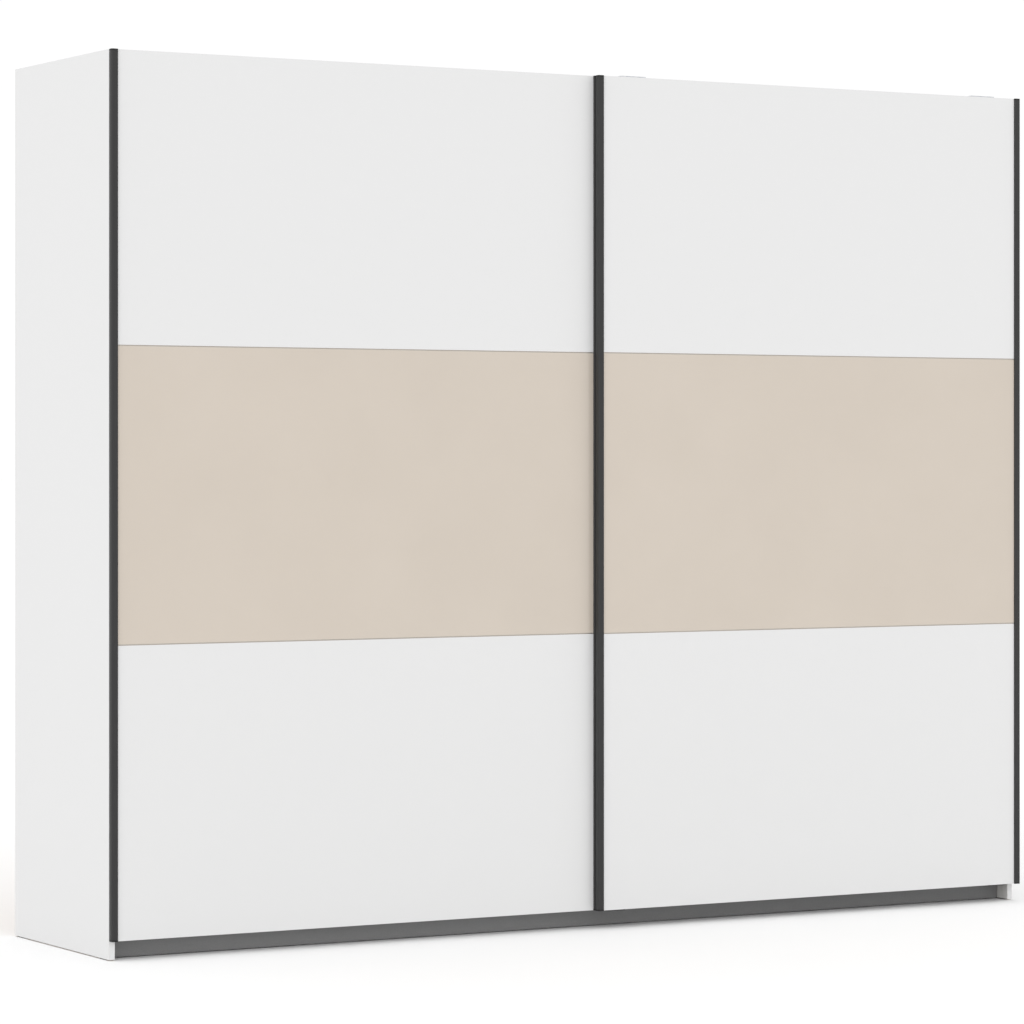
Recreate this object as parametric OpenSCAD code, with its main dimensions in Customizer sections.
// Sliding door wardrobe with two floating doors that run in front of the carcass.
// Millimetres. The origin is at the floor, under the middle of the whole object.
// +X runs to the right along the front, +Y runs to the back and +Z up.
// The doors hang on rollers that run on a rail on top of the carcass. Pins at their
// feet run in a guide rail under the bottom board.

/* [Overall] */
// Width over both closed doors
width = 2580; // [2000:10:3200]
// Height from the floor to the top of the running gear
height = 2100; // [1700:10:2600]
// Depth from the front of the front door to the wall
depth = 590; // [480:5:720]

/* [Boards] */
// Thickness of sides, top, bottom, partition, shelves and plinth
board_t = 15; // [15:1:22]
// Thickness of the back sheets
back_t = 3; // [2.5:0.5:5]
// Distance from the back edge of the sides to the back sheets
back_recess = 14; // [10:1:25]
// Depth of the grooves that hold the back sheets
groove_depth = 6; // [4:1:6]
// Spare room in the grooves
groove_fit = 0.4; // [0.2:0.1:0.8]
// Distance from the front edge of the sides to the inner boards
inner_setback = 5; // [5:1:12]
// Height of the plinth, up to the underside of the bottom board
plinth_h = 70; // [66:1:110]
// Distance from the front edge of the sides to the plinth
plinth_setback = 44; // [42:1:70]
// Height of the floor glides
glide_h = 2; // [2:0.5:5]

/* [Doors] */
// Width of a stile seen from the front
stile_w = 17; // [15:1:24]
// How far a stile stands proud of the door's face
stile_proud = 5; // [4:0.5:8]
// How far a stile reaches behind the door's boards
stile_back = 1; // [0.5:0.5:2]
// Radius of the front corners of a stile
stile_corner = 3.5; // [1:0.5:4]
// Wall of the hollow stile profile
stile_wall = 1.4; // [1:0.1:1.6]
// Distance from the outer edge of a stile to the bottom of its slot
slot_bottom = 8; // [6:0.5:10]
// Height of the plastic caps on the ends of a stile
cap_h = 4; // [2:0.5:8]
// Thickness of the door boards
panel_t = 8; // [8:0.5:10]
// Thickness of the glass, which lies on a backing board
glass_t = 4; // [3:0.5:5]
// Height of the glass band
band_h = 688; // [300:10:900]
// Visible gap between a door board and the glass
strip_gap = 2; // [1:0.5:4]
// How far the strip in that gap lies back from the door's face
strip_recess = 1; // [0.5:0.5:2]
// Clearance between the floor and the doors
door_bottom = 45; // [45:1:60]
// Air between the two doors
door_gap = 6; // [6:0.5:12]
// Air between the rear door and the carcass
carcass_gap = 2; // [2:0.5:6]
// Distance from the middle to the line where the doors meet, to the right
meeting_shift = 11; // [0:1:40]
// How far short of the far side an open door stops
stop_short = 6.5; // [2:0.5:60]

/* [Running gear] */
// Radius of a roller where it runs on the rail
roller_r = 15; // [12:0.5:17]
// Depth of the groove in a roller
roller_groove = 3; // [2:0.5:3]
// Width of a roller
roller_w = 12; // [10:0.5:14]
// Air between a roller and the rib that it runs on
run_gap = 0.3; // [0.3:0.05:0.6]
// Radius of an axle's journal
axle_r = 3; // [2:0.5:4]
// Radial running clearance of a roller on its axle
axle_fit = 0.05; // [0.02:0.01:0.1]
// End play of a roller on its axle
end_play = 0.4; // [0.3:0.1:0.6]
// Width of a rib of the running rail
rib_w = 4; // [3:0.5:5]
// Height of a rib of the running rail
rib_h = 7.7; // [6:0.1:10]
// Thickness of the running rail's base
rail_base_t = 2; // [1.5:0.5:4]
// Distance from the front edge of the top board to the running rail
rail_setback = 4; // [3:0.5:10]
// Air between the axles of the front lane and the carriages of the rear lane
lane_air = 3.6; // [1:0.2:10]
// Length of a spacer between a front door carriage and its roller
axle_spacer = 5.6; // [3:0.2:10]
// Air above the rollers, up to the top edge of the sides
head_room = 4; // [2:0.5:20]
// Width of a door carriage
carriage_w = 70; // [50:5:100]
// How far a carriage reaches down the back of its door
carriage_drop = 130; // [80:5:200]
// Distance from the end of a door to the middle of its carriage
carriage_inset = 110; // [80:5:250]
// Thickness of the steel of carriages and guide brackets
steel_t = 2; // [2:0.5:2.5]
// Air between the rear door and the steel that passes over and under it
pass_gap = 1; // [0.8:0.1:3]

/* [Door guides] */
// Radius of a guide pin
guide_pin_r = 4; // [3:0.5:4]
// Air between a guide pin and its lane
guide_fit = 0.3; // [0.3:0.1:1]
// Height of the guide rail
guide_h = 12; // [10:1:14]
// Wall of the guide rail
guide_wall = 1.6; // [1:0.1:2]
// Distance between the two lanes of the guide rail
guide_pitch = 20; // [18:1:24]
// Width of a guide bracket
guide_bracket_w = 50; // [30:5:80]
// Distance from the end of a door to the middle of its guide bracket
guide_inset = 60; // [40:5:120]

/* [Interior] */
// Clear height above the shelves
hat_space = 300; // [200:10:500]
// Distance from the underside of the shelf to the middle of the clothes rail
rail_below_shelf = 60; // [50:5:100]
// Height of the oval clothes rail
tube_h = 30; // [25:1:35]
// Width of the oval clothes rail
tube_w = 15; // [12:1:18]
// Wall of the clothes rail
tube_wall = 1; // [0.8:0.1:2]
// Air at each end of a shelf
shelf_fit = 1; // [0.5:0.5:3]
// Distance from the inner front edge to the front of a shelf
shelf_setback = 20; // [0:5:60]
// Spacing of the rows of shelf pin holes
hole_pitch = 32; // [25:1:40]
// Holes in a row of shelf pin holes
hole_count = 11; // [7:2:15]

/* [Hidden] */
$fn = 40;
over = 1;                      // how far a cut runs past a face

// Screws
screw_head_r = 3.5;
screw_head_h = 1.8;
screw_r = 1.6;
screw_len = 9;
screw_fit = 0.05;
cross_len = 4.4;
cross_w = 0.8;
cross_depth = 0.9;

// Cam locks, cam bolts and dowels
cam_r = 7.5;
cam_fit = 0.1;
cam_inset = 24;                // from the end of a board to the middle of a cam
cam_slot_len = 7;
cam_slot_w = 1.2;
cam_slot_depth = 1.5;
bolt_neck_r = 3.5;
cam_below_bolt = 1;            // how far a cam reaches past the neck of its bolt
cam_depth = board_t / 2 + bolt_neck_r + cam_below_bolt;
bolt_thread_r = 2.5;
bolt_thread_len = 10;
bolt_head_gap = 3;             // how far the bolt's neck ends past the cam's middle
dowel_r = 4;
dowel_in_side = 10;
dowel_in_board = 20;
dowel_room = 0.5;              // spare depth of a dowel's hole in a board's end
dowel_z_plinth = 36;
joint_inset = 45;              // from the front or back edge of a board to its first cam

// Planes from front to back
stile_d = stile_proud + panel_t + stile_back;
front_door_y = -depth / 2;
rear_door_y = front_door_y + stile_d + door_gap;
side_front_y = rear_door_y + stile_d + carcass_gap;
inner_front_y = side_front_y + inner_setback;
plinth_front_y = side_front_y + plinth_setback;
back_y = depth / 2;
sheet_y = back_y - back_recess - back_t;
mid_y = (inner_front_y + sheet_y) / 2;

// Levels from the floor up
flange_r = roller_r + roller_groove;
axle_above_base = rib_h + run_gap + roller_r;
door_top = height - steel_t - pass_gap;
side_top = door_top;
top_z = side_top - head_room - flange_r - axle_above_base - rail_base_t;
ceiling_z = top_z - board_t;
floor_z = plinth_h + board_t;
shelf_top_z = ceiling_z - hat_space;
shelf_z = shelf_top_z - board_t;
tube_z = shelf_z - rail_below_shelf;

// Places along the width
half = width / 2;
side_in_x = half - board_t;
part_x = board_t / 2;

// Doors
left_door = [-half, meeting_shift + stile_w / 2];      // the two ends of each door
right_door = [meeting_shift - stile_w / 2, half];
left_travel = half - stop_short - left_door[1];
right_travel = half - stop_short + right_door[0];
panel_end = 0.5;               // door boards stop this far inside the stile ends
slot_room = 0.5;               // spare depth of a stile's slot
panel_z0 = door_bottom + panel_end;
panel_z1 = door_top - panel_end;
board_h = (panel_z1 - panel_z0 - band_h - 2 * strip_gap) / 2;
band_z0 = panel_z0 + board_h + strip_gap;
band_z1 = band_z0 + band_h;
strip_flange_w = 20;
strip_flange_t = 1.5;
cap_plug_len = 8;
cap_plug_fit = 0.1;

// Running gear
groove_w = rib_w + 1;
groove_flare = 0.7;
hub_r = 6;
hub_wall = 1;                  // from the spacer's edge to the recess in a roller's face
rim_wall = 2;                  // from that recess to the roller's running surface
recess_depth = 1.5;
rivet_r = 4;
axle_head_r = 5;
axle_head_t = 2;
rail_edge = 12;                // from a lane's middle to the edge of the rail
roller_half = roller_w / 2 + end_play;
lane_front_y = inner_front_y + rail_setback + rail_edge;
drop_plate_y = lane_front_y + roller_half + axle_head_t + lane_air;
lane_rear_y = drop_plate_y + steel_t + axle_spacer + roller_half;
lane_pitch = lane_rear_y - lane_front_y;
rail_base_z = top_z + rail_base_t;
axle_z = rail_base_z + axle_above_base;
drop_below_axle = 12;
function carriage_x(door) = [door[0] + carriage_inset, door[1] - carriage_inset];
carriage_z0 = side_top - carriage_drop;
carriage_screw_dx = 22;
carriage_screw_z = [15, 60];   // up from the foot of a carriage

// End stops on the running rail
stop_len = 24;
stop_w = 14;
stop_slot_fit = 0.2;
buffer_r = 5;
stop_above_buffer = 2;
stop_h = axle_above_base + buffer_r + stop_above_buffer;
buffer_t = 3;
buffer_gap = 0.5;

// Guides at the foot of the doors
guide_slot = guide_pin_r + guide_fit;
guide_lip = guide_slot + guide_wall;
guide_setback = 0.1;           // from the front edge of the bottom board to the rail
guide_front_y = inner_front_y + guide_setback + guide_lip;
guide_rear_y = guide_front_y + guide_pitch;
guide_z = plinth_h - guide_h;
guide_pin_room = 2.4;          // air above a pin in its lane
guide_pin_top = plinth_h - guide_wall - guide_pin_room;
guide_arm_past = 6;            // how far a bracket's arm runs past the middle of its pin
pin_foot_r = 5.5;
pin_foot_t = 2;
pin_rivet_r = 2;
arm_below_rail = 8;            // from the guide rail down to the underside of an arm
rear_arm_z = guide_z - arm_below_rail;
front_arm_z = door_bottom - pass_gap - steel_t;
guide_bracket_top = 110;
guide_screw_z = 95;
guide_screw_dx = 15;
function guide_x(door) = [door[0] + guide_inset, door[1] - guide_inset];

// Rails
rail_gap = 1;                  // air between a rail's end and the side
rail_screws = 8;
rail_screw_inset = 100;
rail_screw_pitch = (2 * side_in_x - 2 * rail_screw_inset) / (rail_screws - 1);
rail_screw_x = [
    for (i = [0 : rail_screws - 1]) -side_in_x + rail_screw_inset + i * rail_screw_pitch
];
run_screw_y = (lane_front_y + lane_rear_y) / 2;
guide_screw_y = (guide_front_y + guide_rear_y) / 2;

// Board joints
cam_y = [inner_front_y + joint_inset, mid_y, sheet_y - joint_inset];
dowel_y = [(cam_y[0] + mid_y) / 2, (mid_y + cam_y[2]) / 2];
top_mid_z = top_z - board_t / 2;
bottom_mid_z = plinth_h + board_t / 2;
plinth_mid_y = plinth_front_y + board_t / 2;
rear_plinth_mid_y = sheet_y - board_t / 2;

// The four ends of a pair of boards: [place, direction into the board]
board_ends = [[-side_in_x, 1], [-part_x, -1], [part_x, 1], [side_in_x, -1]];

// Back sheets, two to a compartment, with an H strip between them
h_web = 1.5;
h_flange_w = 20;
h_flange_t = 1;
groove_room = 0.5;
bay_x0 = part_x - groove_depth + groove_room;
bay_x1 = side_in_x + groove_depth - groove_room;
sheet_w = (bay_x1 - bay_x0 - h_web) / 2;
bay_mid_x = (bay_x0 + bay_x1) / 2;
sheet_screw_inset = 60;

// Shelf pins and clothes rails
pin_row_front = 54;            // from the front edge of the inner boards
pin_row_back = 58;             // from the back sheets
pin_rows = [inner_front_y + pin_row_front, sheet_y - pin_row_back];
shelf_pin_r = 2.5;
shelf_pin_in = 6;
shelf_pin_out = 8;
pin_hole_depth = 6.5;
pin_hole_fit = 0.05;
pin_z = shelf_z - shelf_pin_r;
hole_z0 = pin_z - (hole_count - 1) / 2 * hole_pitch;
shelf_back_gap = 3;
socket_t = 3;
socket_w = 24;
socket_h = 66;
socket_collar = 15;
socket_wall = 2;
tube_fit = 0.2;
socket_bore = 2 * tube_fit;    // added to the tube's width and height
socket_rim = socket_bore + 2 * socket_wall;
socket_screw_dz = 27;
tube_end_gap = 0.5;
clip_w = 18;
clip_stem_t = 3;
clip_flange_t = 3;
clip_flange_w = 60;
clip_screw_dy = 20;

// Floor glides
glide_w = 12;
glide_l = 40;
glide_peg_r = 3;
glide_peg_h = 12;
glide_peg_fit = 0.05;
glide_inset = 35;

// Wall brackets
wall_bracket_w = 60;
wall_bracket_t = 2;
wall_bracket_leg = 57;
wall_bracket_h = 40;
wall_hole_r = 2.75;
wall_hole_dx = 20;
wall_hole_z = 25;              // above the top board
wall_bracket_x = width / 4;
wall_screw_inset = 43;         // from the back edge of the sides
wall_screw_y = back_y - wall_screw_inset;

// ---- Plain shapes ----

// A box between two opposite corners, in any order
module box(a, b) {
    lo = [for (i = [0 : 2]) min(a[i], b[i])];
    hi = [for (i = [0 : 2]) max(a[i], b[i])];
    translate(lo) cube(hi - lo);
}

// Round bars along X, Y and Z between two places
module bar_x(x0, x1, y, z, r) {
    translate([min(x0, x1), y, z]) rotate([0, 90, 0]) cylinder(h = abs(x1 - x0), r = r);
}

module bar_y(x, y0, y1, z, r) {
    translate([x, min(y0, y1), z]) rotate([-90, 0, 0]) cylinder(h = abs(y1 - y0), r = r);
}

module bar_z(x, y, z0, z1, r) {
    translate([x, y, min(z0, z1)]) cylinder(h = abs(z1 - z0), r = r);
}

// Turns +Z to the direction d, which is one of the six along an axis
function aim(d) =
    d[0] != 0 ? [0, 90 * d[0], 0] :
    d[1] != 0 ? [-90 * d[1], 0, 0] :
    d[2] < 0 ? [180, 0, 0] : [0, 0, 0];

module put(p, d) {
    translate(p) rotate(aim(d)) children();
}

// An outline in Y and Z, drawn out along X between two places
module along_x(x0, x1) {
    translate([min(x0, x1), 0, 0]) rotate([90, 0, 90]) linear_extrude(abs(x1 - x0)) children();
}

// An oval, taller than wide
module oval(w, h) {
    translate([-w / 2, -(h - w) / 2]) square([w, h - w]);
    for (s = [-1, 1]) translate([0, s * (h - w) / 2]) circle(r = w / 2);
}

// ---- Screws: each list holds [place of the head's seat, direction of the head] ----

carcass_screw_places = [
    for (x = rail_screw_x) [[x, run_screw_y, rail_base_z], [0, 0, 1]],
    for (x = rail_screw_x) [[x, guide_screw_y, plinth_h - guide_wall], [0, 0, -1]],
    for (s = [-1, 1], i = [0, 1], k = [-1, 0, 1], z = [top_mid_z, bottom_mid_z])
        [[s * (bay_x0 + sheet_w / 2 + i * (sheet_w + h_web)) + k * (sheet_w / 2 - sheet_screw_inset),
          sheet_y + back_t, z], [0, 1, 0]],
    for (e = board_ends, k = [-1, 1])
        [[e[0] + e[1] * socket_t, mid_y, tube_z + k * socket_screw_dz], [e[1], 0, 0]],
    for (s = [-1, 1], k = [-1, 1])
        [[s * bay_mid_x, mid_y + k * clip_screw_dy, shelf_z - clip_flange_t], [0, 0, -1]],
    for (s = [-1, 1], k = [-1, 1])
        [[s * wall_bracket_x + k * wall_hole_dx, wall_screw_y, top_z + wall_bracket_t], [0, 0, 1]],
];

// The back of the boards of a door whose stiles' front is at yf
function board_back(yf) = yf + stile_proud + panel_t;

function door_screw_places(door, yf) = [
    for (cx = carriage_x(door), k = [-1, 1], dz = carriage_screw_z)
        [[cx + k * carriage_screw_dx, board_back(yf) + steel_t, carriage_z0 + dz], [0, 1, 0]],
    for (gx = guide_x(door), k = [-1, 1])
        [[gx + k * guide_screw_dx, board_back(yf) + steel_t, guide_screw_z], [0, 1, 0]],
];

module screw() {
    difference() {
        union() {
            cylinder(h = screw_head_h, r = screw_head_r);
            translate([0, 0, -screw_len]) cylinder(h = screw_len, r = screw_r);
        }
        for (a = [0, 90])
            rotate(a) translate([-cross_len / 2, -cross_w / 2, screw_head_h - cross_depth])
                cube([cross_len, cross_w, cross_depth + over]);
    }
}

module screws(places) {
    color("silver") for (s = places) put(s[0], s[1]) screw();
}

module screw_holes(places) {
    for (s = places)
        put(s[0], s[1]) translate([0, 0, -screw_len - screw_fit])
            cylinder(h = screw_len + screw_fit + over, r = screw_r + screw_fit);
}

// ---- Board joints: cams in the ends of the top and bottom boards ----

// The cuts in one end of a board. x is the end, dir points into the board, and
// face says which way the cams open.
module board_end_cuts(x, dir, z, face) {
    open_z = z + face * board_t / 2;
    for (y = cam_y) {
        bar_z(x + dir * cam_inset, y, open_z + face * over, open_z - face * cam_depth, cam_r);
        bar_x(x - dir * over, x + dir * cam_inset, y, z, bolt_neck_r + cam_fit);
    }
    for (y = dowel_y) bar_x(x - dir * over, x + dir * (dowel_in_board + dowel_room), y, z, dowel_r);
}

// One cam with the passage for its bolt and a cross slot in its face
module cam(x, dir, y, z, face) {
    open_z = z + face * board_t / 2;
    cam_x = x + dir * cam_inset;
    difference() {
        bar_z(cam_x, y, open_z, open_z - face * (cam_depth - cam_fit), cam_r - cam_fit);
        bar_x(x, cam_x + dir * (bolt_head_gap + cam_fit), y, z, bolt_neck_r + cam_fit);
        for (a = [0, 90])
            translate([cam_x, y, open_z]) rotate(a)
                cube([cam_slot_len, cam_slot_w, 2 * cam_slot_depth], center = true);
    }
}

module cam_locks() {
    color("silver") {
        for (e = board_ends, y = cam_y) {
            cam(e[0], e[1], y, top_mid_z, 1);
            cam(e[0], e[1], y, bottom_mid_z, -1);
        }
    }
}

// Bolts in the sides end in a thread, bolts in the partition run through it
module cam_bolts() {
    neck = cam_inset + bolt_head_gap;
    color("silver") {
        for (z = [top_mid_z, bottom_mid_z], y = cam_y) {
            for (s = [-1, 1]) {
                bar_x(s * side_in_x, s * (side_in_x - neck), y, z, bolt_neck_r);
                bar_x(s * side_in_x, s * (side_in_x + bolt_thread_len), y, z, bolt_thread_r);
            }
            bar_x(-part_x - neck, part_x + neck, y, z, bolt_neck_r);
        }
    }
}

module side_dowel(s, y, z) {
    bar_x(s * (side_in_x + dowel_in_side), s * (side_in_x - dowel_in_board), y, z, dowel_r);
}

module dowels() {
    color("burlywood") {
        for (z = [top_mid_z, bottom_mid_z], y = dowel_y) {
            for (s = [-1, 1]) side_dowel(s, y, z);
            bar_x(-part_x - dowel_in_board, part_x + dowel_in_board, y, z, dowel_r);
        }
        for (y = [plinth_mid_y, rear_plinth_mid_y], s = [-1, 1]) side_dowel(s, y, dowel_z_plinth);
        bar_x(-part_x - dowel_in_board, part_x + dowel_in_board, rear_plinth_mid_y, dowel_z_plinth, dowel_r);
    }
}

// ---- Carcass boards ----

// Blind holes for shelf pins in a face at x, drilled in the direction dir
module pin_holes(x, dir) {
    hole_r = shelf_pin_r + pin_hole_fit;
    for (y = pin_rows, i = [0 : hole_count - 1])
        bar_x(x - dir * over, x + dir * pin_hole_depth, y, hole_z0 + i * hole_pitch, hole_r);
}

// A side board. s is -1 for the left one and 1 for the right one.
module side_board(s) {
    inner = s * side_in_x;
    color("white") difference() {
        box([s * half, side_front_y, glide_h], [inner, back_y, side_top]);
        box([inner - s * over, sheet_y, glide_h - over],
            [inner + s * groove_depth, sheet_y + back_t + groove_fit, side_top + over]);
        for (z = [top_mid_z, bottom_mid_z]) {
            for (y = cam_y) bar_x(inner - s * over, inner + s * bolt_thread_len, y, z, bolt_thread_r);
            for (y = dowel_y) bar_x(inner - s * over, inner + s * dowel_in_side, y, z, dowel_r);
        }
        for (y = [plinth_mid_y, rear_plinth_mid_y])
            bar_x(inner - s * over, inner + s * dowel_in_side, y, dowel_z_plinth, dowel_r);
        pin_holes(inner, s);
        glide_holes();
        screw_holes(carcass_screw_places);
    }
}

module left_side() {
    side_board(-1);
}

module right_side() {
    side_board(1);
}

// The middle board. Its foot is cut back for the plinth and the guide rail.
module partition() {
    color("white") difference() {
        box([-part_x, inner_front_y, glide_h], [part_x, back_y, top_z]);
        box([-part_x - over, inner_front_y - over, glide_h - over],
            [part_x + over, plinth_front_y + board_t, plinth_h]);
        for (s = [-1, 1])
            box([s * (part_x - groove_depth), sheet_y, glide_h - over],
                [s * (part_x + over), sheet_y + back_t + groove_fit, top_z + over]);
        for (z = [top_mid_z, bottom_mid_z]) {
            for (y = cam_y) bar_x(-part_x - over, part_x + over, y, z, bolt_neck_r + cam_fit);
            for (y = dowel_y) bar_x(-part_x - over, part_x + over, y, z, dowel_r);
        }
        bar_x(-part_x - over, part_x + over, rear_plinth_mid_y, dowel_z_plinth, dowel_r);
        pin_holes(-part_x, 1);
        pin_holes(part_x, -1);
        glide_holes();
        screw_holes(carcass_screw_places);
    }
}

// A top or bottom board of one compartment. face says which way its cams open.
module level_board(s, z, face) {
    color("white") difference() {
        box([s * part_x, inner_front_y, z - board_t / 2], [s * side_in_x, sheet_y, z + board_t / 2]);
        board_end_cuts(s * part_x, s, z, face);
        board_end_cuts(s * side_in_x, -s, z, face);
        screw_holes(carcass_screw_places);
    }
}

module left_top_panel() {
    level_board(-1, top_mid_z, 1);
}

module right_top_panel() {
    level_board(1, top_mid_z, 1);
}

module left_bottom_panel() {
    level_board(-1, bottom_mid_z, -1);
}

module right_bottom_panel() {
    level_board(1, bottom_mid_z, -1);
}

module plinth_dowel_hole(x, dir, y) {
    bar_x(x - dir * over, x + dir * (dowel_in_board + dowel_room), y, dowel_z_plinth, dowel_r);
}

module front_plinth() {
    color("dimgray") difference() {
        box([-side_in_x, plinth_front_y, glide_h], [side_in_x, plinth_front_y + board_t, plinth_h]);
        for (s = [-1, 1]) plinth_dowel_hole(s * side_in_x, -s, plinth_mid_y);
    }
}

module rear_plinths() {
    color("white") for (s = [-1, 1])
        difference() {
            box([s * part_x, sheet_y - board_t, glide_h], [s * side_in_x, sheet_y, plinth_h]);
            plinth_dowel_hole(s * part_x, s, rear_plinth_mid_y);
            plinth_dowel_hole(s * side_in_x, -s, rear_plinth_mid_y);
        }
}

module back_sheets() {
    color("whitesmoke") difference() {
        for (s = [-1, 1], k = [-1, 1])
            box([s * bay_mid_x + k * h_web / 2, sheet_y, plinth_h],
                [s * bay_mid_x + k * (h_web / 2 + sheet_w), sheet_y + back_t, top_z]);
        screw_holes(carcass_screw_places);
    }
}

// H section between two sheets: its front flange ends under the top board
module back_joint_strips() {
    y0 = sheet_y - h_flange_t;
    y1 = sheet_y + back_t;
    color("whitesmoke") for (x = [-bay_mid_x, bay_mid_x]) {
        box([x - h_web / 2, y0, floor_z], [x + h_web / 2, y1 + h_flange_t, ceiling_z]);
        for (y = [y0, y1])
            box([x - h_flange_w / 2, y, floor_z], [x + h_flange_w / 2, y + h_flange_t, ceiling_z]);
    }
}

// ---- Interior ----

module shelf(s) {
    color("white") difference() {
        box([s * (part_x + shelf_fit), inner_front_y + shelf_setback, shelf_z],
            [s * (side_in_x - shelf_fit), sheet_y - shelf_back_gap, shelf_top_z]);
        screw_holes(carcass_screw_places);
    }
}

module left_shelf() {
    shelf(-1);
}

module right_shelf() {
    shelf(1);
}

module shelf_pins() {
    color("silver") for (e = board_ends, y = pin_rows)
        bar_x(e[0] - e[1] * shelf_pin_in, e[0] + e[1] * shelf_pin_out, y, pin_z, shelf_pin_r);
}

module clothes_rail(s) {
    x0 = part_x + socket_t + tube_end_gap;
    x1 = side_in_x - socket_t - tube_end_gap;
    color("silver") along_x(s * x0, s * x1) translate([mid_y, tube_z]) difference() {
        oval(tube_w, tube_h);
        oval(tube_w - 2 * tube_wall, tube_h - 2 * tube_wall);
    }
}

module left_clothes_rail() {
    clothes_rail(-1);
}

module right_clothes_rail() {
    clothes_rail(1);
}

// A plate on the board with a collar that takes the end of the tube
module rail_sockets() {
    color("gray") for (e = board_ends) difference() {
        union() {
            box([e[0], mid_y - socket_w / 2, tube_z - socket_h / 2],
                [e[0] + e[1] * socket_t, mid_y + socket_w / 2, tube_z + socket_h / 2]);
            along_x(e[0], e[0] + e[1] * socket_collar)
                translate([mid_y, tube_z]) oval(tube_w + socket_rim, tube_h + socket_rim);
        }
        along_x(e[0] + e[1] * socket_t, e[0] + e[1] * (socket_collar + over))
            translate([mid_y, tube_z]) oval(tube_w + socket_bore, tube_h + socket_bore);
        screw_holes(carcass_screw_places);
    }
}

// A ring round the middle of each clothes rail, hung from the shelf
module rail_supports() {
    ring_top = tube_z + (tube_h + socket_rim) / 2;
    color("gray") for (s = [-1, 1]) {
        x0 = s * bay_mid_x - clip_w / 2;
        x1 = x0 + clip_w;
        difference() {
            union() {
                along_x(x0, x1) translate([mid_y, tube_z]) oval(tube_w + socket_rim, tube_h + socket_rim);
                box([x0, mid_y - clip_stem_t / 2, ring_top - socket_wall],
                    [x1, mid_y + clip_stem_t / 2, shelf_z]);
                box([x0, mid_y - clip_flange_w / 2, shelf_z - clip_flange_t],
                    [x1, mid_y + clip_flange_w / 2, shelf_z]);
            }
            along_x(x0 - over, x1 + over)
                translate([mid_y, tube_z]) oval(tube_w + socket_bore, tube_h + socket_bore);
            screw_holes(carcass_screw_places);
        }
    }
}

// ---- Rails and stops on the carcass ----

// A flat base with one rib for each lane
module running_rail() {
    color("silver") difference() {
        along_x(-side_in_x + rail_gap, side_in_x - rail_gap) {
            translate([lane_front_y - rail_edge, top_z]) square([lane_pitch + 2 * rail_edge, rail_base_t]);
            for (y = [lane_front_y, lane_rear_y])
                translate([y - rib_w / 2, top_z]) square([rib_w, rail_base_t + rib_h]);
        }
        screw_holes(carcass_screw_places);
    }
}

// A flat base with two channels that open downwards
module guide_rail() {
    color("silver") difference() {
        along_x(-side_in_x + rail_gap, side_in_x - rail_gap) {
            translate([guide_front_y - guide_lip, plinth_h - guide_wall])
                square([guide_pitch + 2 * guide_lip, guide_wall]);
            for (y = [guide_front_y, guide_rear_y], s = [-1, 1])
                translate([y + s * (guide_slot + guide_wall / 2) - guide_wall / 2, guide_z])
                    square([guide_wall, guide_h]);
        }
        screw_holes(carcass_screw_places);
    }
}

// Where the rollers of the doors stand at both ends of their travel, and the side
// on which a stop meets them: [place along X, lane, side]
reach = flange_r + buffer_gap;
stop_places = [
    [carriage_x(left_door)[0] - reach, lane_front_y, -1],
    [carriage_x(left_door)[1] + left_travel + reach, lane_front_y, 1],
    [carriage_x(right_door)[0] - right_travel - reach, lane_rear_y, -1],
    [carriage_x(right_door)[1] + reach, lane_rear_y, 1],
];

module end_stops() {
    color("dimgray") for (p = stop_places) {
        near = p[0] + p[2] * buffer_t;
        far = near + p[2] * stop_len;
        difference() {
            box([near, p[1] - stop_w / 2, rail_base_z], [far, p[1] + stop_w / 2, rail_base_z + stop_h]);
            box([near - p[2] * over, p[1] - rib_w / 2, rail_base_z - over],
                [far + p[2] * over, p[1] + rib_w / 2, rail_base_z + rib_h + stop_slot_fit]);
        }
    }
}

module stop_buffers() {
    color("black") for (p = stop_places) bar_x(p[0], p[0] + p[2] * buffer_t, p[1], axle_z, buffer_r);
}

// ---- Feet and wall brackets ----

glide_places = [
    for (s = [-1, 1], y = [side_front_y + glide_inset, back_y - glide_inset]) [s * (half - board_t / 2), y],
    for (y = [plinth_front_y + board_t + glide_inset, back_y - glide_inset]) [0, y],
];

module glide_holes() {
    top = glide_h + glide_peg_h + glide_peg_fit;
    for (p = glide_places) bar_z(p[0], p[1], glide_h - over, top, glide_peg_r + glide_peg_fit);
}

module floor_glides() {
    color("black") for (p = glide_places) {
        box([p[0] - glide_w / 2, p[1] - glide_l / 2, 0], [p[0] + glide_w / 2, p[1] + glide_l / 2, glide_h]);
        bar_z(p[0], p[1], 0, glide_h + glide_peg_h, glide_peg_r);
    }
}

module wall_brackets() {
    color("silver") difference() {
        for (s = [-1, 1]) {
            x0 = s * wall_bracket_x - wall_bracket_w / 2;
            x1 = x0 + wall_bracket_w;
            box([x0, back_y - wall_bracket_leg, top_z], [x1, back_y, top_z + wall_bracket_t]);
            box([x0, back_y - wall_bracket_t, top_z], [x1, back_y, top_z + wall_bracket_h]);
        }
        for (s = [-1, 1], k = [-1, 1])
            bar_y(s * wall_bracket_x + k * wall_hole_dx, back_y - wall_bracket_t - over, back_y + over,
                top_z + wall_hole_z, wall_hole_r);
        screw_holes(carcass_screw_places);
    }
}

module board_screws() {
    screws(carcass_screw_places);
}

// ---- Doors: yf is the front plane of a door ----

// A board of a door between two levels, with its ends in the slots of the stiles
module door_layer(door, y0, y1, z0, z1) {
    inset = slot_bottom + slot_room;
    box([door[0] + inset, y0, z0], [door[1] - inset, y1, z1]);
}

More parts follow.
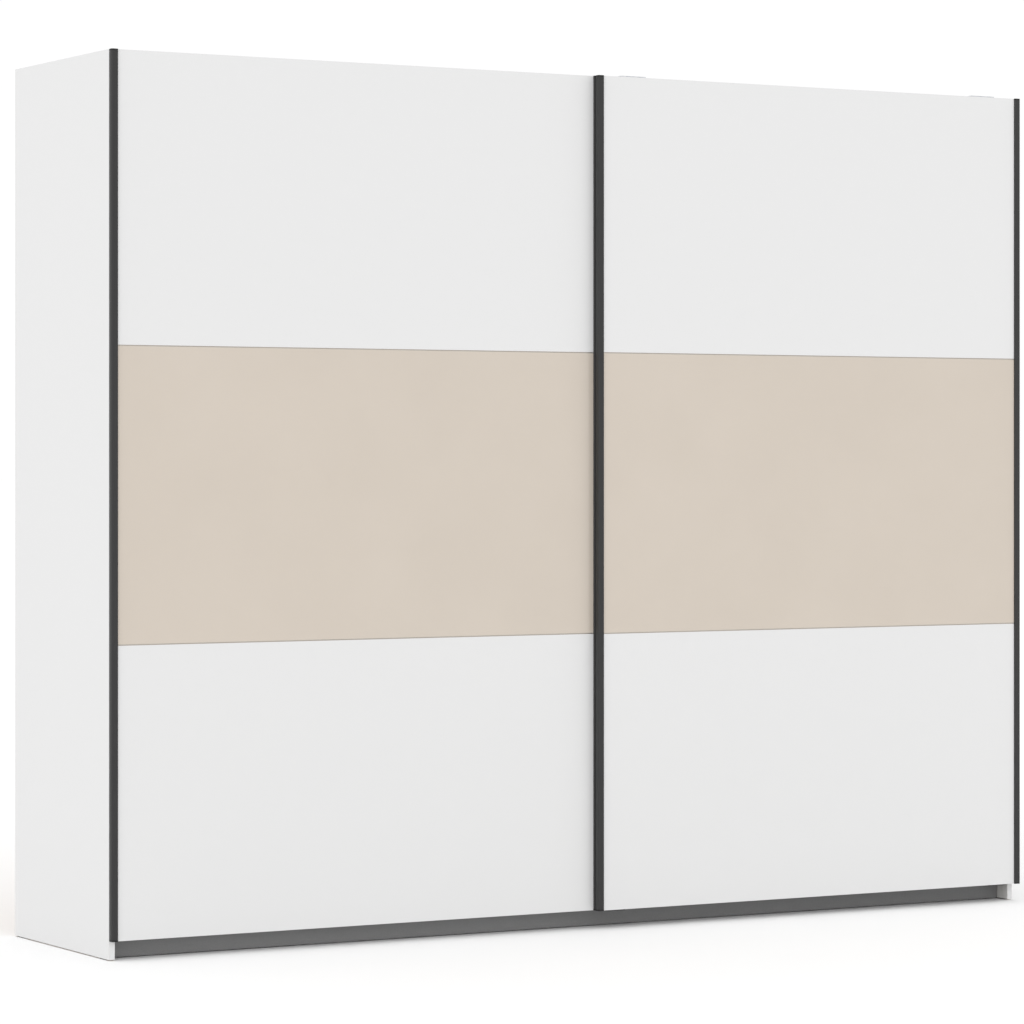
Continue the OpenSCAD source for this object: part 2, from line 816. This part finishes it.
module door_board(door, yf, z0, z1) {
    color("white") difference() {
        door_layer(door, yf + stile_proud, board_back(yf), z0, z1);
        screw_holes(door_screw_places(door, yf));
    }
}

module door_glass(door, yf) {
    color([0.84, 0.8, 0.74]) door_layer(door, yf + stile_proud, yf + stile_proud + glass_t, band_z0, band_z1);
}

module door_glass_backing(door, yf) {
    color("tan") door_layer(door, yf + stile_proud + glass_t, board_back(yf), band_z0, band_z1);
}

// T sections that close the gaps above and below the glass, with a flange at the back
module door_joint_strips(door, yf) {
    back = board_back(yf);
    color([0.72, 0.66, 0.58]) for (z = [band_z0 - strip_gap, band_z1]) {
        door_layer(door, yf + stile_proud + strip_recess, back, z, z + strip_gap);
        box([door[0] + stile_w, back, z + strip_gap / 2 - strip_flange_w / 2],
            [door[1] - stile_w, back + strip_flange_t, z + strip_gap / 2 + strip_flange_w / 2]);
    }
}

// Outline of a stile, with its outer edge at 0 and its face at 0
module stile_outline() {
    difference() {
        union() {
            translate([0, stile_corner]) square([stile_w, stile_d - stile_corner]);
            translate([stile_corner, 0]) square([stile_w - 2 * stile_corner, stile_d]);
            for (x = [stile_corner, stile_w - stile_corner])
                translate([x, stile_corner]) circle(r = stile_corner);
        }
        translate([slot_bottom, stile_proud]) square([stile_w - slot_bottom + over, panel_t]);
    }
}

// The hollow beside the slot, which also takes the plug of a cap
module stile_chamber(fit) {
    translate([stile_wall + fit, stile_proud + fit])
        square([slot_bottom - 2 * (stile_wall + fit), stile_d - stile_proud - stile_wall - 2 * fit]);
}

module stile_front_chamber() {
    translate([stile_corner, stile_wall])
        square([stile_w - 2 * stile_corner, stile_proud - 2 * stile_wall]);
}

// Places an outline at the left (s = -1) or right (s = 1) end of a door
module at_stile(door, yf, s, z) {
    translate([s < 0 ? door[0] : door[1], yf, z]) mirror([s < 0 ? 0 : 1, 0, 0]) children();
}

module door_stile(door, yf, s) {
    color([0.25, 0.25, 0.25]) at_stile(door, yf, s, door_bottom + cap_h)
        linear_extrude(door_top - door_bottom - 2 * cap_h) difference() {
            stile_outline();
            stile_chamber(0);
            stile_front_chamber();
        }
}

module door_end_caps(door, yf) {
    color("black") for (s = [-1, 1]) {
        at_stile(door, yf, s, door_bottom) {
            linear_extrude(cap_h) stile_outline();
            linear_extrude(cap_h + cap_plug_len) stile_chamber(cap_plug_fit);
        }
        at_stile(door, yf, s, door_top - cap_h) {
            linear_extrude(cap_h) stile_outline();
            translate([0, 0, -cap_plug_len]) linear_extrude(cap_plug_len + cap_h) stile_chamber(cap_plug_fit);
        }
    }
}

// ---- Rollers, axles and carriages ----

// Outline of a grooved roller, drawn against its axle
module roller_outline() {
    w = roller_w / 2;
    difference() {
        polygon([
            [axle_r + axle_fit, -w], [flange_r, -w], [flange_r, -groove_w / 2 - groove_flare],
            [roller_r, -groove_w / 2], [roller_r, groove_w / 2],
            [flange_r, groove_w / 2 + groove_flare], [flange_r, w], [axle_r + axle_fit, w],
        ]);
        for (s = [-1, 1])
            translate([hub_r + hub_wall, s * w - recess_depth])
                square([roller_r - rim_wall - hub_r - hub_wall, 2 * recess_depth]);
    }
}

module roller(x, y) {
    color("white") put([x, y, axle_z], [0, 1, 0]) rotate_extrude() roller_outline();
}

// A riveted axle. plate_y is the face of the steel that it stands on.
module axle(x, plate_y, lane_y) {
    near = lane_y - roller_half;
    far = lane_y + roller_half;
    bar_y(x, plate_y - steel_t, plate_y, axle_z, rivet_r);
    bar_y(x, plate_y, near, axle_z, hub_r);
    bar_y(x, near, far, axle_z, axle_r);
    bar_y(x, far, far + axle_head_t, axle_z, axle_head_r);
}

// Flat carriages of the rear door, with the rollers in the front lane
module rear_carriages(door, yf) {
    back = board_back(yf);
    color("silver") difference() {
        for (cx = carriage_x(door))
            box([cx - carriage_w / 2, back, carriage_z0],
                [cx + carriage_w / 2, back + steel_t, axle_z + drop_below_axle]);
        for (cx = carriage_x(door)) bar_y(cx, back - over, back + steel_t + over, axle_z, rivet_r);
        screw_holes(door_screw_places(door, yf));
    }
}

// Carriages of the front door, which reach over the rear door to the rear lane
module front_carriages(door, yf) {
    back = board_back(yf);
    color("silver") difference() {
        for (cx = carriage_x(door)) {
            a = cx - carriage_w / 2;
            b = cx + carriage_w / 2;
            box([a, back, carriage_z0], [b, back + steel_t, height]);
            box([a, back, height - steel_t], [b, drop_plate_y + steel_t, height]);
            box([a, drop_plate_y, axle_z - drop_below_axle], [b, drop_plate_y + steel_t, height]);
        }
        for (cx = carriage_x(door))
            bar_y(cx, drop_plate_y - over, drop_plate_y + steel_t + over, axle_z, rivet_r);
        screw_holes(door_screw_places(door, yf));
    }
}

// ---- Guides ----

// Angle brackets at the foot of a door, with an arm under the guide rail
module guide_brackets(door, yf, arm_z, lane_y) {
    back = board_back(yf);
    color("dimgray") difference() {
        for (gx = guide_x(door)) {
            a = gx - guide_bracket_w / 2;
            b = gx + guide_bracket_w / 2;
            box([a, back, arm_z], [b, back + steel_t, guide_bracket_top]);
            box([a, back, arm_z], [b, lane_y + guide_arm_past, arm_z + steel_t]);
        }
        for (gx = guide_x(door)) bar_z(gx, lane_y, arm_z - over, arm_z + steel_t + over, pin_rivet_r);
        screw_holes(door_screw_places(door, yf));
    }
}

module guide_pins(door, arm_z, lane_y) {
    color("black") for (gx = guide_x(door)) {
        bar_z(gx, lane_y, arm_z, arm_z + steel_t, pin_rivet_r);
        bar_z(gx, lane_y, arm_z + steel_t, arm_z + steel_t + pin_foot_t, pin_foot_r);
        bar_z(gx, lane_y, arm_z + steel_t, guide_pin_top, guide_pin_r);
    }
}

// ---- Left door, in the rear plane ----

module left_door_upper_board() {
    door_board(left_door, rear_door_y, band_z1 + strip_gap, panel_z1);
}

module left_door_lower_board() {
    door_board(left_door, rear_door_y, panel_z0, band_z0 - strip_gap);
}

module left_door_glass() {
    door_glass(left_door, rear_door_y);
}

module left_door_glass_backing() {
    door_glass_backing(left_door, rear_door_y);
}

module left_door_joint_strips() {
    door_joint_strips(left_door, rear_door_y);
}

module left_door_left_stile() {
    door_stile(left_door, rear_door_y, -1);
}

module left_door_right_stile() {
    door_stile(left_door, rear_door_y, 1);
}

module left_door_end_caps() {
    door_end_caps(left_door, rear_door_y);
}

module left_door_carriages() {
    rear_carriages(left_door, rear_door_y);
}

module left_door_axles() {
    plate_y = board_back(rear_door_y) + steel_t;
    color("silver") for (cx = carriage_x(left_door)) axle(cx, plate_y, lane_front_y);
}

module left_door_left_roller() {
    roller(carriage_x(left_door)[0], lane_front_y);
}

module left_door_right_roller() {
    roller(carriage_x(left_door)[1], lane_front_y);
}

module left_door_guide_brackets() {
    guide_brackets(left_door, rear_door_y, rear_arm_z, guide_front_y);
}

module left_door_guide_pins() {
    guide_pins(left_door, rear_arm_z, guide_front_y);
}

module left_door_screws() {
    screws(door_screw_places(left_door, rear_door_y));
}

// ---- Right door, in the front plane ----

module right_door_upper_board() {
    door_board(right_door, front_door_y, band_z1 + strip_gap, panel_z1);
}

module right_door_lower_board() {
    door_board(right_door, front_door_y, panel_z0, band_z0 - strip_gap);
}

module right_door_glass() {
    door_glass(right_door, front_door_y);
}

module right_door_glass_backing() {
    door_glass_backing(right_door, front_door_y);
}

module right_door_joint_strips() {
    door_joint_strips(right_door, front_door_y);
}

module right_door_left_stile() {
    door_stile(right_door, front_door_y, -1);
}

module right_door_right_stile() {
    door_stile(right_door, front_door_y, 1);
}

module right_door_end_caps() {
    door_end_caps(right_door, front_door_y);
}

module right_door_carriages() {
    front_carriages(right_door, front_door_y);
}

module right_door_axles() {
    color("silver") for (cx = carriage_x(right_door)) axle(cx, drop_plate_y + steel_t, lane_rear_y);
}

module right_door_left_roller() {
    roller(carriage_x(right_door)[0], lane_rear_y);
}

module right_door_right_roller() {
    roller(carriage_x(right_door)[1], lane_rear_y);
}

module right_door_guide_brackets() {
    guide_brackets(right_door, front_door_y, front_arm_z, guide_rear_y);
}

module right_door_guide_pins() {
    guide_pins(right_door, front_arm_z, guide_rear_y);
}

module right_door_screws() {
    screws(door_screw_places(right_door, front_door_y));
}

left_side();
right_side();
partition();
left_top_panel();
right_top_panel();
left_bottom_panel();
right_bottom_panel();
front_plinth();
rear_plinths();
back_sheets();
back_joint_strips();
left_shelf();
right_shelf();
shelf_pins();
left_clothes_rail();
right_clothes_rail();
rail_sockets();
rail_supports();
running_rail();
end_stops();
stop_buffers();
guide_rail();
cam_locks();
cam_bolts();
dowels();
floor_glides();
wall_brackets();
board_screws();
left_door_upper_board();
left_door_lower_board();
left_door_glass();
left_door_glass_backing();
left_door_joint_strips();
left_door_left_stile();
left_door_right_stile();
left_door_end_caps();
left_door_carriages();
left_door_axles();
left_door_left_roller();
left_door_right_roller();
left_door_guide_brackets();
left_door_guide_pins();
left_door_screws();
right_door_upper_board();
right_door_lower_board();
right_door_glass();
right_door_glass_backing();
right_door_joint_strips();
right_door_left_stile();
right_door_right_stile();
right_door_end_caps();
right_door_carriages();
right_door_axles();
right_door_left_roller();
right_door_right_roller();
right_door_guide_brackets();
right_door_guide_pins();
right_door_screws();
